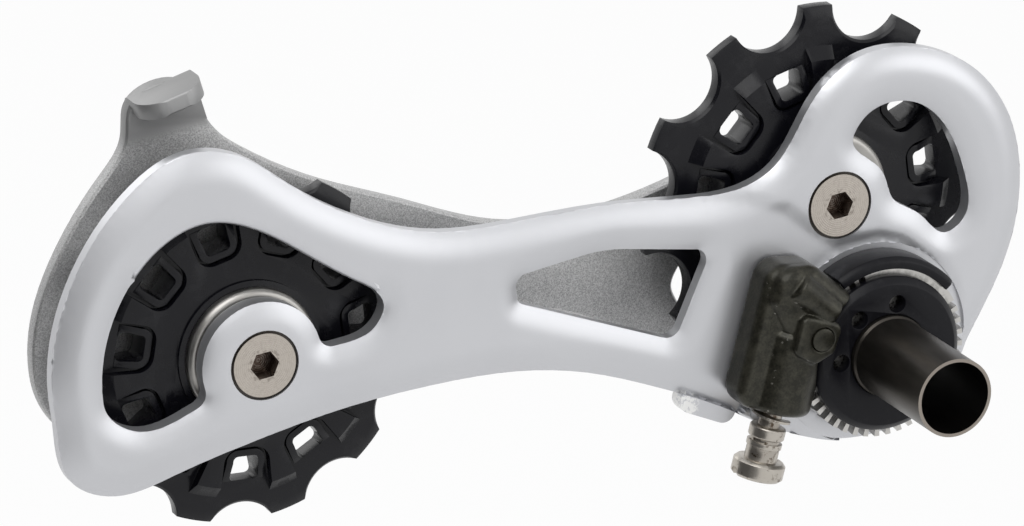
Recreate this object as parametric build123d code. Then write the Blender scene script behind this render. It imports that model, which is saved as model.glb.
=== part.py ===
from build123d import *

import math
import os

# Rear derailleur cage. Every piece is modelled lying down: x runs along the line of the
# two pulley axes, y across it, and h, the height, towards the outer side. The cage pivot
# axis is at x = y = 0, and the flat land round the pulley bolts is at h = 0.
# STAND turns a finished piece up: x stays X, y becomes +Z and h becomes -Y.
STAND = Rot(90, 0, 0)

# Places of the axes, in millimetres
pulley_spacing = 72.5
pivot_past_guide = 2.3
pivot_below_guide = 18.0

# Stack of plates and pulleys, from the outer side to the inner side
outer_plate_thickness = 3.0
pulley_stack_width = 8.3
inner_plate_thickness = 1.9
outer_edge_round = 1.3
window_edge_round = 0.8
back_edge_round = 0.3
lug_radius = 1.5
lug_drop = 0.8

# Bosses, bolts and bushes
bolt_boss_radius = 7.2
bolt_head_radius = 3.75
bolt_head_rim = 0.5
bolt_recess_gap = 0.35
bolt_shank_radius = 2.45
bolt_thread_gap = 0.05
socket_across_flats = 3.0
socket_depth = 2.0
bush_wall = 0.65
bush_gap = 0.07
cap_radius = 7.9
cap_height = 1.15
cap_edge_round = 0.8
cap_gap = 0.1

# Pulleys
tooth_count = 11
guide_tip_radius = 22.3
guide_first_tooth = 82.9
tension_tip_radius = 20.7
tension_first_tooth = -82.2
tooth_seat_circle = 23.0
tooth_seat_radius = 4.6
tooth_seat_chamfer = 0.3
tooth_width = 2.2
tooth_tip_width = 1.4
tooth_tip_taper = 1.3
hub_radius = 8.6
hub_width = 5.6
raised_disc_radius = 16.2
raised_disc_width = 4.6
raised_disc_ramp = 1.4
running_gap = 0.06
window_inner_radius = 12.5
window_outer_radius = 15.6
window_inner_width = 2.9
window_outer_width = 3.6
window_corner_round = 0.6
lip_width = 0.75
lip_height = 3.9
lip_corner_round = 1.3
lip_slope_start = 13.4
lip_slope_end = 16.0
pocket_groove = 0.4
pocket_outer_width = 6.9
pocket_corner_round = 1.9

# Pivot sleeve and what turns on it
sleeve_radius = 4.7
sleeve_wall = 0.4
sleeve_end_height = 20.4
sleeve_seat_radius = 4.9
sleeve_seat_proud = 0.5
sleeve_seat_taper = 0.3
sleeve_collar_radius = 5.5
sleeve_collar_height = 0.6
pivot_pocket_gap = 0.7
pivot_pocket_depth = 0.5
washer_radius = 7.6
washer_thickness = 0.5
ring_hub_radius = 8.0
ring_hub_height = 0.55
ring_gap = 0.05
ring_face_width = 2.2
ring_tooth_count = 44
ring_pitch_radius = 10.0
ring_tip_rise = 0.5
ring_root_drop = 0.65
ring_slot_width = 0.84
smooth_sector_start = 26.0
smooth_sector_end = 98.0
flange_radius = 9.4
flange_thickness = 1.6
flange_bevel_height = 0.7
flange_bevel_width = 0.8
hook_hole_radius = 1.05
hook_hole_circle = 6.2
hook_hole_angles = (74.0, 122.0, 174.0)

# Guard over the ring's teeth
guard_outer_radius = 11.6
guard_inner_radius = 10.75
guard_lip_radius = 10.2
guard_height = 3.6
guard_edge_bevel = 0.5
guard_lip_gap = 0.25
guard_gap = 0.2
guard_start_angle = 33.0
guard_end_angle = 116.0

# Adjuster worm and its housing. The worm's axis leans over by worm_lean.
worm_lean = 21.5
worm_pitch_radius = 1.9
worm_crest_radius = 2.4
worm_core_radius = 1.3
worm_thread_width = 0.42
worm_thread_top = 0.28
worm_thread_low_end = -10.4
worm_thread_high_end = 4.6
worm_gap = 0.15
worm_core_top = 7.0
worm_collar_radius = 2.15
worm_collar_ends = (-12.2, -10.7)
worm_neck_radius = 1.8
worm_band_radius = 2.1
worm_band_ends = (-13.2, -12.6)
worm_shank_radius = 1.95
worm_head_radius = 3.1
worm_head_chamfer = 0.35
worm_collar_round = 0.3
worm_head_ends = (-17.0, -14.8)
worm_slot_width = 1.0
worm_slot_depth = 0.9
housing_height = 4.2
housing_floor = -8.6
housing_top = 9.5
housing_left = -18.0
housing_right = -8.0
housing_low_round = 2.4
housing_high_round = 2.6
housing_side_round = 1.0
housing_edge_round = 1.3
hump_inset = 0.7
hump_height = 5.4
hump_edge_round = 1.6
barrel_wall = 1.7
barrel_top = 1.4
barrel_end_round = 0.9
boss_radius = 1.95
boss_start = (-14.7, 7.1)
boss_length = 6.3
boss_height = 4.6
boss_turn = -27.0
boss_end_round = 0.4
ear_corners = ((-13.6, 4.0), (-8.1, 3.5), (-8.4, -0.1), (-10.5, -1.8), (-13.7, -0.8))
ear_round = 1.1
ear_edge_round = 0.5
ear_top = 6.5
ear_gap = 0.3
ear_pin_place = (-10.4, 1.4)
pin_radius = 1.4
pin_proud = 0.15
pin_gap = 0.05
rivet_radius = 1.3
rivet_depth = 2.0
rivet_places = ((-16.4, 5.6), (-16.4, -5.6))

# Edges of the inner plate and its chain tab
sheet_edge_chamfer = 0.25
tab_leg = 6.0
tab_edge_round = 0.35
tab_width = 8.0
tab_reach = 6.6
tab_lean = 9.5
tab_end_round = 3.2
tab_bend_round = 1.6
tab_top_from_tension = 31.2
tab_middle_from_tension = -3.7

# Places worked out from the sizes above
guide_x = -pivot_past_guide
guide_y = pivot_below_guide
tension_x = guide_x - pulley_spacing
tension_y = guide_y
stack_top = -outer_plate_thickness
stack_middle = stack_top - pulley_stack_width / 2
inner_face = stack_top - pulley_stack_width
inner_back = inner_face - inner_plate_thickness
pocket_floor = -pivot_pocket_depth
washer_top = pocket_floor + washer_thickness
ring_bottom = washer_top + ring_gap
ring_teeth_bottom = ring_bottom + ring_hub_height
ring_top = ring_teeth_bottom + ring_face_width
flange_top = ring_top + flange_thickness
sleeve_seat_top = flange_top + sleeve_seat_proud
pivot_pocket_radius = guard_outer_radius + pivot_pocket_gap
ring_tip_radius = ring_pitch_radius + ring_tip_rise
ring_root_radius = ring_pitch_radius - ring_root_drop
ring_tooth_pitch = 2 * math.pi * ring_pitch_radius / ring_tooth_count
worm_distance = ring_pitch_radius + worm_pitch_radius
worm_height = ring_teeth_bottom + ring_face_width / 2
worm_lead_angle = math.degrees(math.atan(ring_tooth_pitch / (2 * math.pi * worm_pitch_radius)))
mesh_angle = 180 - worm_lean
bush_radius = bolt_shank_radius + bush_gap + bush_wall
ear_bottom = flange_top + ear_gap


def from_tension(points):
    """Places given from the tension pulley's axis."""
    return [(tension_x + x, tension_y + y) for x, y in points]


def from_guide(points):
    """Places given from the guide pulley's axis."""
    return [(guide_x + x, guide_y + y) for x, y in points]


def between_pulleys(points):
    """Places given as a share of the pulley spacing from the tension axis, and a height across."""
    return [(tension_x + share * pulley_spacing, tension_y + y) for share, y in points]


def smooth_face(points):
    """A face inside a smooth closed curve through the points."""
    return make_face(Spline([Vector(x, y) for x, y in points], periodic=True))


def rounded_polygon(corners):
    """A polygon with a radius of its own at each corner, given as x, y, radius."""
    face = make_face(Polyline([(x, y) for x, y, radius in corners], close=True))
    for x, y, radius in corners:
        face = fillet(face.vertices().sort_by_distance((x, y, 0))[0], radius)
    return face


def disc(radius, low, high, x=0.0, y=0.0):
    """An upright round plug between two heights."""
    return Pos(x, y, low) * extrude(Circle(radius), high - low)


def taper(low_radius, high_radius, height):
    """A cone standing on h = 0."""
    return Cone(low_radius, high_radius, height, align=(Align.CENTER, Align.CENTER, Align.MIN))


def at_worm(shape):
    """Turns a shape built in the worm's own directions: across first, along the axis second."""
    return Rot(0, 0, -worm_lean) * shape


def along_worm(radius, low, high):
    """A round bar on the worm's axis, between two distances along it."""
    bar = Rot(-90, 0, 0) * extrude(Circle(radius), high - low)
    return Pos(-worm_distance, low, worm_height) * bar


def outer_plate_outline():
    """The outer plate seen from its outer side."""
    top = from_tension([(-24.7, 0.5), (-23.5, 8.8), (-19.0, 17.2), (-12.3, 23.6), (-5.4, 26.3), (0.4, 24.8)])
    top += from_tension([(6.0, 19.9), (13.9, 13.7), (22.4, 9.7)])
    top += between_pulleys([(0.46, 8.1), (0.62, 7.0)])
    guide = from_guide([(-18.0, 5.3), (-12.6, 4.8), (-7.2, 6.4), (-3.6, 10.4), (-0.2, 14.3), (5.4, 16.9)])
    guide += from_guide([(12.5, 16.1), (19.1, 12.1), (23.3, 5.4), (24.2, -3.0), (22.0, -11.2)])
    pivot = [(12.7, -3.8), (8.6, -8.6), (2.2, -11.5), (-5.0, -11.1), (-12.6, -7.9), (-19.5, -3.0)]
    bottom = between_pulleys([(0.66, -16.6), (0.55, -12.6), (0.42, -9.7), (0.27, -8.4)])
    bottom += from_tension([(9.0, -8.2), (-2.0, -9.1), (-12.0, -10.5), (-19.0, -11.0), (-24.0, -7.8)])
    return smooth_face(top + guide + pivot + bottom)


def tension_window():
    """The window round the tension pulley's boss: an arch with a rounded boss standing in it."""
    arch = from_tension([(-19.1, 0.4), (-18.0, 6.6), (-14.8, 12.4), (-10.0, 16.6), (-4.6, 18.0), (0.4, 16.3)])
    arch += from_tension([(6.0, 12.0), (12.2, 6.7), (15.3, 2.9), (13.6, 0.4), (9.4, -0.3), (0.0, -1.2)])
    arch += from_tension([(-9.0, -3.4), (-15.4, -4.0)])
    window = smooth_face(arch) - Pos(tension_x, tension_y) * Circle(bolt_boss_radius)
    corners = window.vertices().filter_by(lambda v: v.Y < tension_y + bolt_boss_radius / 2)
    near = [v for v in corners if abs(math.hypot(v.X - tension_x, v.Y - tension_y) - bolt_boss_radius) < 0.01]
    return fillet(near, 1.7)


def middle_window():
    """The long three-sided window between the pulleys."""
    left = tension_x + 0.436 * pulley_spacing
    right = guide_x - 16.2
    corners = [(left, guide_y + 1.75, 1.5), (left + 11.4, guide_y + 2.1, 18.0), (right, guide_y - 1.5, 1.5)]
    corners += [(right - 5.8, guide_y - 11.3, 1.7), (left, guide_y - 1.5, 1.2)]
    return rounded_polygon(corners)


def guide_window():
    """The crescent window beside the guide pulley's boss."""
    rim = from_guide([(3.1, 7.8), (6.9, 10.4), (11.6, 9.5), (15.2, 5.2), (16.8, -0.6), (16.0, -6.2)])
    rim += from_guide([(13.6, -7.2), (10.4, -4.0), (7.2, -1.2), (6.1, 2.6)])
    return smooth_face(rim)


def stop_lug():
    """The small bare lug that stands out of the plate's lower edge."""
    ends = from_guide([(-20.9, -19.1), (-17.0, -21.4)])
    bar = make_hull([edge for x, y in ends for edge in (Pos(x, y) * Circle(lug_radius)).edges()])
    return Pos(0, 0, stack_top) * extrude(bar, outer_plate_thickness - lug_drop)


def bolt_seat(x, y):
    """Countersunk recess for a pulley bolt, and the hole for its shank."""
    rim = bolt_head_radius + bolt_recess_gap
    hole = disc(bolt_shank_radius + bolt_thread_gap, inner_back - 1, 1, x, y)
    rim_cut = disc(rim, -bolt_head_rim, 1, x, y)
    cone_depth = bolt_head_radius - bolt_shank_radius
    cone = Pos(x, y, -bolt_head_rim - cone_depth) * taper(bolt_shank_radius, bolt_head_radius, cone_depth)
    return hole + rim_cut + cone


def outer_plate():
    """The cast outer plate with its windows, recessed bolt seats and the pocket for the toothed ring."""
    body = extrude(outer_plate_outline(), outer_plate_thickness)
    for window in (tension_window(), middle_window(), guide_window()):
        body -= extrude(window, outer_plate_thickness)
    body = Pos(0, 0, stack_top) * body
    rim = body.faces().sort_by(Axis.Z)[-1].outer_wire().edges()
    body = fillet(rim, outer_edge_round)
    front = body.faces().sort_by(Axis.Z)[-1]
    holes = [edge for wire in front.inner_wires() for edge in wire.edges()]
    body = fillet(holes, window_edge_round)
    back = body.faces().sort_by(Axis.Z)[0]
    body = chamfer(back.edges(), back_edge_round)
    body += stop_lug()
    body -= disc(pivot_pocket_radius, pocket_floor, 1)
    body -= at_worm(along_worm(worm_crest_radius + worm_gap, worm_band_ends[0], worm_thread_high_end + 1))
    body -= disc(sleeve_seat_radius, stack_top - 1, 1)
    for x, y in ((tension_x, tension_y), (guide_x, guide_y)):
        body -= bolt_seat(x, y)
    for across, along in rivet_places:
        body -= at_worm(disc(rivet_radius + pin_gap, stack_top - 1, 1, across, along))
    return body


def inner_plate_outline():
    """The sheet inner plate: wide round the tension pulley, a narrow arm to the guide pulley."""
    left = from_tension([(-23.2, 0.4), (-21.6, 8.6), (-17.5, 15.5), (-11.9, 21.7), (-8.6, 25.8)])
    left += from_tension([(-7.6, 29.6)])
    neck = from_tension([(-0.2, 30.2), (0.9, 26.9), (5.6, 20.8), (14.0, 14.9), (23.2, 10.1)])
    arm = between_pulleys([(0.48, 4.3), (0.66, 2.6)])
    arm += from_guide([(-9.6, 5.0), (0.0, 6.2), (6.0, 1.4), (4.0, -4.6), (-4.6, -5.4), (-12.4, -2.6)])
    edge = from_guide([(-15.4, -6.2), (-17.2, -9.2), (-16.5, -11.7), (-16.4, -13.9), (-18.6, -15.7)])
    edge += from_guide([(-22.6, -14.0), (-26.6, -11.2), (-31.0, -8.6)])
    bottom = between_pulleys([(0.5, -6.8), (0.36, -6.3)])
    bottom += from_tension([(14.0, -8.0), (2.0, -9.2), (-10.0, -9.6), (-19.6, -7.4)])
    return smooth_face(left + neck + arm + edge + bottom)


def chain_tab():
    """The tab at the inner plate's top: bent towards the outer side, with a rounded end."""
    leg = tab_leg
    profile = make_face(Polyline([
        (0, inner_back),
        (0, inner_back + tab_reach),
        (-inner_plate_thickness, inner_back + tab_reach),
        (-inner_plate_thickness, inner_face),
        (-leg, inner_face),
        (-leg, inner_back),
    ], close=True))
    bend = profile.vertices().sort_by_distance((0, inner_back, 0))[0]
    profile = fillet(bend, tab_bend_round)
    tip = profile.vertices().group_by(Axis.Y)[-1]
    profile = fillet(tip, tab_edge_round)
    bent = extrude(Plane.YZ * profile, tab_width / 2, both=True)
    plan = Rectangle(tab_width, tab_reach, align=(Align.CENTER, Align.MIN))
    ends = plan.vertices().group_by(Axis.Y)[-1]
    plan = fillet(ends, tab_end_round)
    keep = extrude(Plane((0, -leg, inner_back), x_dir=(1, 0, 0), z_dir=(0, -1, 0)) * plan, -leg)
    foot = Box(tab_width, leg, inner_plate_thickness)
    keep += Pos(0, -leg / 2, inner_back + inner_plate_thickness / 2) * foot
    place = Pos(tension_x + tab_middle_from_tension, tension_y + tab_top_from_tension, 0)
    return place * Rot(0, 0, tab_lean) * (bent & keep)


def inner_plate():
    """The blasted sheet inner plate with its chain tab and two threaded bolt holes."""
    body = Pos(0, 0, inner_back) * extrude(inner_plate_outline(), inner_plate_thickness)
    body = chamfer(body.faces().sort_by(Axis.Z)[-1].edges(), sheet_edge_chamfer)
    body += chain_tab()
    for x, y in ((tension_x, tension_y), (guide_x, guide_y)):
        body -= disc(bolt_shank_radius, inner_back - 1, inner_face + 1, x, y)
    return body


def pulley_bolt(x, y):
    """Countersunk bolt with a hexagon socket. Its shank ends flush with the inner plate."""
    cone_depth = bolt_head_radius - bolt_shank_radius
    section = [
        (0, 0),
        (bolt_head_radius, 0),
        (bolt_head_radius, -bolt_head_rim),
        (bolt_shank_radius, -bolt_head_rim - cone_depth),
        (bolt_shank_radius, inner_back),
        (0, inner_back),
    ]
    body = revolve(Plane.XZ * make_face(Polyline(section, close=True)), Axis.Z)
    socket = RegularPolygon(socket_across_flats / 2, 6, major_radius=False)
    body -= Pos(0, 0, -socket_depth) * extrude(socket, socket_depth)
    return Pos(x, y, 0) * body


def pulley_bush(x, y):
    """The steel bush that a pulley turns on, clamped between the two plates."""
    ring = Circle(bush_radius) - Circle(bolt_shank_radius + bush_gap)
    return Pos(x, y, inner_face) * extrude(ring, pulley_stack_width)


def dust_cap(x, y, outer):
    """A rounded steel cap over the pulley's hub, on the outer or the inner side."""
    width = cap_radius - bush_radius
    section = Pos(bush_radius, 0) * Rectangle(width, cap_height, align=(Align.MIN, Align.MIN))
    edge = section.vertices().group_by(Axis.X)[-1].sort_by(Axis.Y)[-1]
    section = fillet(edge, cap_edge_round)
    body = revolve(Plane.XZ * section, Axis.Z)
    if outer:
        return Pos(x, y, stack_top - cap_gap - cap_height) * body
    return Pos(x, y, inner_face + cap_gap + cap_height) * Rot(180, 0, 0) * body


def pulley_blank(tip_radius):
    """The wheel before its windows are cut: hub, raised disc, ramp, and a rim with thinned tips."""
    half = [
        (bush_radius + running_gap, hub_width / 2),
        (hub_radius, hub_width / 2),
        (hub_radius, raised_disc_width / 2),
        (raised_disc_radius, raised_disc_width / 2),
        (raised_disc_radius + raised_disc_ramp, tooth_width / 2),
        (tip_radius - tooth_tip_taper, tooth_width / 2),
        (tip_radius, tooth_tip_width / 2),
    ]
    section = half + [(radius, -height) for radius, height in reversed(half)]
    return revolve(Plane.XZ * make_face(Polyline(section, close=True)), Axis.Z)


def window_shape(margin):
    """One pulley window seen along the axis, at angle zero, grown by a margin on three sides."""
    inner = window_inner_width / 2 + margin
    outer = window_outer_width / 2 + margin
    near = window_inner_radius - margin
    return Polygon(
        (near, -inner), (window_outer_radius, -outer), (window_outer_radius, outer), (near, inner),
        align=None,
    )


def window_pocket():
    """The U-shaped pocket round a window. It is open towards the rim and cut from one side only."""
    margin = lip_width + pocket_groove
    inner = window_inner_width / 2 + margin
    outer = pocket_outer_width / 2
    near = window_inner_radius - margin
    far = raised_disc_radius + 2 * raised_disc_ramp
    shape = Polygon((near, -inner), (far, -outer), (far, outer), (near, inner), align=None)
    shape = fillet(shape.vertices().group_by(Axis.X)[0], pocket_corner_round)
    return Pos(0, 0, tooth_width / 2) * extrude(shape, raised_disc_width)


def window_lip():
    """The low lip round a window, sloping down to the rim at its outer end."""
    shape = window_shape(lip_width)
    shape = fillet(shape.vertices().group_by(Axis.X)[0], lip_corner_round)
    half = [
        (window_inner_radius / 2, lip_height / 2),
        (lip_slope_start, lip_height / 2),
        (lip_slope_end, tooth_width / 2),
        (lip_slope_end, 0),
        (window_inner_radius / 2, 0),
    ]
    slope = revolve(Plane.XZ * make_face(Polyline(half, close=True)), Axis.Z)
    upper = extrude(shape, lip_height / 2) & slope
    return upper + Rot(180, 0, 0) * upper


def tooth_gap():
    """The round gap between two teeth, opened out at both faces."""
    wide = tooth_seat_radius + tooth_seat_chamfer
    face = tooth_width / 2
    half = [(0, 0), (tooth_seat_radius, 0), (tooth_seat_radius, face - tooth_seat_chamfer), (wide, face)]
    half += [(wide, tooth_width), (0, tooth_width)]
    upper = revolve(Plane.XZ * make_face(Polyline(half, close=True)), Axis.Z)
    return Pos(tooth_seat_circle, 0, 0) * (upper + Rot(180, 0, 0) * upper)


def pulley(x, y, tip_radius, first_tooth_angle):
    """A jockey wheel with its teeth, its windows, and a pocket with a low lip round each window."""
    pocket = window_pocket()
    lip = window_lip()
    window = fillet(window_shape(0).vertices(), window_corner_round)
    hole = extrude(window, hub_width / 2, both=True)
    gap = tooth_gap()
    step = 360 / tooth_count
    turns = [Rot(0, 0, first_tooth_angle + (tooth + 0.5) * step) for tooth in range(tooth_count)]
    body = pulley_blank(tip_radius)
    body -= [turn * pocket for turn in turns]
    body -= [turn * Rot(180, 0, 0) * pocket for turn in turns]
    body += [turn * lip for turn in turns]
    body -= [turn * hole for turn in turns]
    body -= [turn * gap for turn in turns]
    return Pos(x, y, stack_middle) * body


def pivot_sleeve():
    """Thin sleeve. Its thicker seat is pressed into the outer plate, and the toothed ring turns on it."""
    tube = disc(sleeve_radius, stack_top, sleeve_end_height)
    tube += disc(sleeve_seat_radius, stack_top, sleeve_seat_top)
    tube += Pos(0, 0, sleeve_seat_top) * taper(sleeve_seat_radius, sleeve_radius, sleeve_seat_taper)
    tube += disc(sleeve_collar_radius, stack_top - sleeve_collar_height, stack_top)
    bore = disc(sleeve_radius - sleeve_wall, stack_top - sleeve_collar_height, sleeve_end_height)
    return tube - bore


def thrust_washer():
    """Steel washer between the pocket floor and the toothed ring."""
    return disc(washer_radius, pocket_floor, washer_top) - disc(sleeve_seat_radius, pocket_floor, washer_top)


def toothed_ring():
    """Ring with a worm-wheel rim: slots cut at the worm's lead angle, and a smooth sector at the top."""
    body = disc(ring_hub_radius, ring_bottom, ring_teeth_bottom)
    body += disc(ring_tip_radius, ring_teeth_bottom, ring_top)
    slot_depth = ring_tip_radius - ring_root_radius
    step = 360 / ring_tooth_count
    cutters = []
    for slot in range(ring_tooth_count):
        angle = mesh_angle + slot * step
        if smooth_sector_start < angle % 360 < smooth_sector_end:
            continue
        cutter = Box(2 * slot_depth, ring_slot_width, 3 * ring_face_width)
        cutter = Rot(worm_lead_angle, 0, 0) * cutter
        cutters.append(Rot(0, 0, angle) * Pos(ring_tip_radius, 0, worm_height) * cutter)
    body = body - cutters
    return body - disc(sleeve_seat_radius + running_gap, ring_bottom - 1, ring_top + 1)


def spring_flange():
    """Black flange that turns with the toothed ring and holds the hooked end of the spring."""
    section = [
        (sleeve_seat_radius + running_gap, ring_top),
        (flange_radius, ring_top),
        (flange_radius, flange_top - flange_bevel_height),
        (flange_radius - flange_bevel_width, flange_top),
        (sleeve_seat_radius + running_gap, flange_top),
    ]
    body = revolve(Plane.XZ * make_face(Polyline(section, close=True)), Axis.Z)
    for angle in hook_hole_angles:
        x = hook_hole_circle * math.cos(math.radians(angle))
        y = hook_hole_circle * math.sin(math.radians(angle))
        body -= disc(hook_hole_radius, ring_top, flange_top, x, y)
    return body


def ring_guard():
    """Black guard round the top of the ring: a wall outside the teeth and a lip in front of them."""
    lip_bottom = ring_top + guard_lip_gap
    section = [
        (guard_inner_radius, pocket_floor),
        (guard_outer_radius, pocket_floor),
        (guard_outer_radius, guard_height - guard_edge_bevel),
        (guard_outer_radius - guard_edge_bevel, guard_height),
        (guard_lip_radius, guard_height),
        (guard_lip_radius, lip_bottom),
        (guard_inner_radius, lip_bottom),
    ]
    sweep_angle = guard_end_angle - guard_start_angle
    body = revolve(Plane.XZ * make_face(Polyline(section, close=True)), Axis.Z, sweep_angle)
    return Rot(0, 0, guard_start_angle) * body


def worm_thread():
    """One left-handed thread along the worm. In the middle of the mesh its crest faces the ring."""
    turns_below = math.floor(-worm_thread_low_end / ring_tooth_pitch)
    low = -turns_below * ring_tooth_pitch
    path = Helix(ring_tooth_pitch, worm_thread_high_end - low, worm_core_radius, lefthand=True)
    root = worm_core_radius - 0.1
    base = worm_thread_width / 2
    top = worm_thread_top / 2
    corners = [(root, -base), (worm_crest_radius, -top), (worm_crest_radius, top), (root, base)]
    profile = Plane.XZ * make_face(Polyline(corners, close=True))
    return Pos(0, 0, low) * sweep(profile, path=path, is_frenet=True)


def worm_step(radius, low, high):
    """One round step of the screw, between two distances along it."""
    return Pos(0, 0, low) * extrude(Circle(radius), high - low)


def worm_screw():
    """Worn adjuster screw: thread in the housing, collar, band, plain shank and a slotted head."""
    collar_low, collar_high = worm_collar_ends
    band_low, band_high = worm_band_ends
    head_low, head_high = worm_head_ends
    body = worm_step(worm_core_radius, collar_high, worm_core_top)
    body += worm_thread()
    body += fillet(worm_step(worm_collar_radius, collar_low, collar_high).edges(), worm_collar_round)
    body += worm_step(worm_neck_radius, band_high, collar_low)
    body += worm_step(worm_band_radius, band_low, band_high)
    body += worm_step(worm_shank_radius, head_high, band_low)
    head = chamfer(worm_step(worm_head_radius, head_low, head_high).edges(), worm_head_chamfer)
    slot = Pos(0, 0, head_low) * Box(3 * worm_head_radius, worm_slot_width, 2 * worm_slot_depth)
    body += head - slot
    body = Rot(-90, 0, 0) * body
    return at_worm(Pos(-worm_distance, 0, worm_height) * body)


def housing_boss():
    """The round boss cast on the housing's upper end, pointing at the flange's rim."""
    bar = extrude(Circle(boss_radius), boss_length)
    lay_down = Rot(0, 0, boss_turn) * Rot(0, 90, 0)
    return Pos(*boss_start, boss_height) * lay_down * fillet(bar.edges(), boss_end_round)


def round_top(shape, radius):
    """Rounds every edge of a shape's top face."""
    return fillet(shape.faces().sort_by(Axis.Z)[-1].edges(), radius)


def housing_body():
    """The low block of the housing, and the higher hump at its upper end."""
    upper_right = [
        (housing_right + 2.6, housing_top - 3.7, housing_side_round),
        (-worm_distance - 0.6, housing_top, housing_high_round),
    ]
    block = rounded_polygon([
        (housing_left, housing_floor, housing_low_round),
        (housing_right, housing_floor, housing_side_round),
        (housing_right, housing_floor + 8.0, housing_side_round),
        *upper_right,
        (housing_left, housing_top - 0.8, housing_high_round),
    ])
    hump = rounded_polygon([
        (-worm_distance - 2.0, 0.4, 2.0),
        (housing_right, housing_floor + 8.6, housing_side_round),
        *upper_right,
        (housing_left + hump_inset, housing_top - 0.8, housing_high_round),
        (housing_left + hump_inset, 4.4, 2.0),
    ])
    body = round_top(extrude(block, housing_height), housing_edge_round)
    return body + round_top(extrude(hump, hump_height), hump_edge_round)


def worm_housing():
    """The cast housing: a rounded block and barrel over the worm, with an ear over the flange's rim."""
    bore_radius = worm_crest_radius + worm_gap
    barrel = along_worm(bore_radius + barrel_wall, housing_floor, barrel_top)
    barrel = fillet(barrel.edges(), barrel_end_round)
    above_plate = Pos(-worm_distance, 0, 10) * Box(20, 40, 20)
    body = housing_body()
    body += barrel & above_plate
    body += housing_boss()
    body -= along_worm(bore_radius, housing_floor - 1, worm_thread_high_end + worm_gap)
    body -= along_worm(worm_core_radius + worm_gap, 0, worm_core_top + worm_gap)
    body -= disc(guard_outer_radius + guard_gap, -1, guard_height + guard_gap)
    body -= disc(flange_radius + ear_gap, -1, 2 * hump_height)
    ear = extrude(rounded_polygon([(x, y, ear_round) for x, y in ear_corners]), ear_top - ear_bottom)
    body += Pos(0, 0, ear_bottom) * round_top(ear, ear_edge_round)
    body -= disc(pin_radius + pin_gap, ear_bottom, 2 * ear_top, *ear_pin_place)
    for across, along in rivet_places:
        body -= disc(rivet_radius + pin_gap, -1, rivet_depth, across, along)
    return at_worm(body)


def ear_pin():
    """The pin whose round head shows in the housing's ear."""
    return at_worm(disc(pin_radius, ear_bottom, ear_top + pin_proud, *ear_pin_place))


def housing_rivets():
    """Two rivets that hold the housing on the plate, flush at the plate's back."""
    return Part() + [at_worm(disc(rivet_radius, stack_top, rivet_depth, *place)) for place in rivet_places]


def write(name, shape):
    """Stands a finished piece up and writes it out under its own name."""
    export_step(STAND * shape, "parts/" + name + ".step")


os.makedirs("parts", exist_ok=True)
tension_place = (tension_x, tension_y)
guide_place = (guide_x, guide_y)
pieces = {
    "outer_plate": outer_plate(),
    "inner_plate": inner_plate(),
    "guide_pulley": pulley(*guide_place, guide_tip_radius, guide_first_tooth),
    "tension_pulley": pulley(*tension_place, tension_tip_radius, tension_first_tooth),
    "guide_bolt": pulley_bolt(*guide_place),
    "tension_bolt": pulley_bolt(*tension_place),
    "guide_bush": pulley_bush(*guide_place),
    "tension_bush": pulley_bush(*tension_place),
    "guide_cap_outer": dust_cap(*guide_place, outer=True),
    "guide_cap_inner": dust_cap(*guide_place, outer=False),
    "tension_cap_outer": dust_cap(*tension_place, outer=True),
    "tension_cap_inner": dust_cap(*tension_place, outer=False),
    "pivot_sleeve": pivot_sleeve(),
    "thrust_washer": thrust_washer(),
    "toothed_ring": toothed_ring(),
    "spring_flange": spring_flange(),
    "ring_guard": ring_guard(),
    "worm_screw": worm_screw(),
    "worm_housing": worm_housing(),
    "ear_pin": ear_pin(),
    "housing_rivets": housing_rivets(),
}
for name, shape in pieces.items():
    write(name, shape)
    print(name, "volume", round(shape.volume, 2))
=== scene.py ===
# %% [markdown]
# # A rear derailleur cage in the studio
# The cage keeps the chain tight on a bicycle. Two toothed wheels turn between a cast outer plate
# and a sheet inner plate, and the whole cage swings on a thin sleeve. A small worm turns a toothed
# ring round that sleeve to set how hard the cage spring pulls.
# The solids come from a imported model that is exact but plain. This lesson dresses them: it softens
# edges, sculpts the castings, and gives each surface a finish of its own.

import math

import bmesh
import bpy
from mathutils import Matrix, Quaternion, Vector
from mathutils.geometry import delaunay_2d_cdt
from mathutils.bvhtree import BVHTree
from mathutils.kdtree import KDTree


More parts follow.
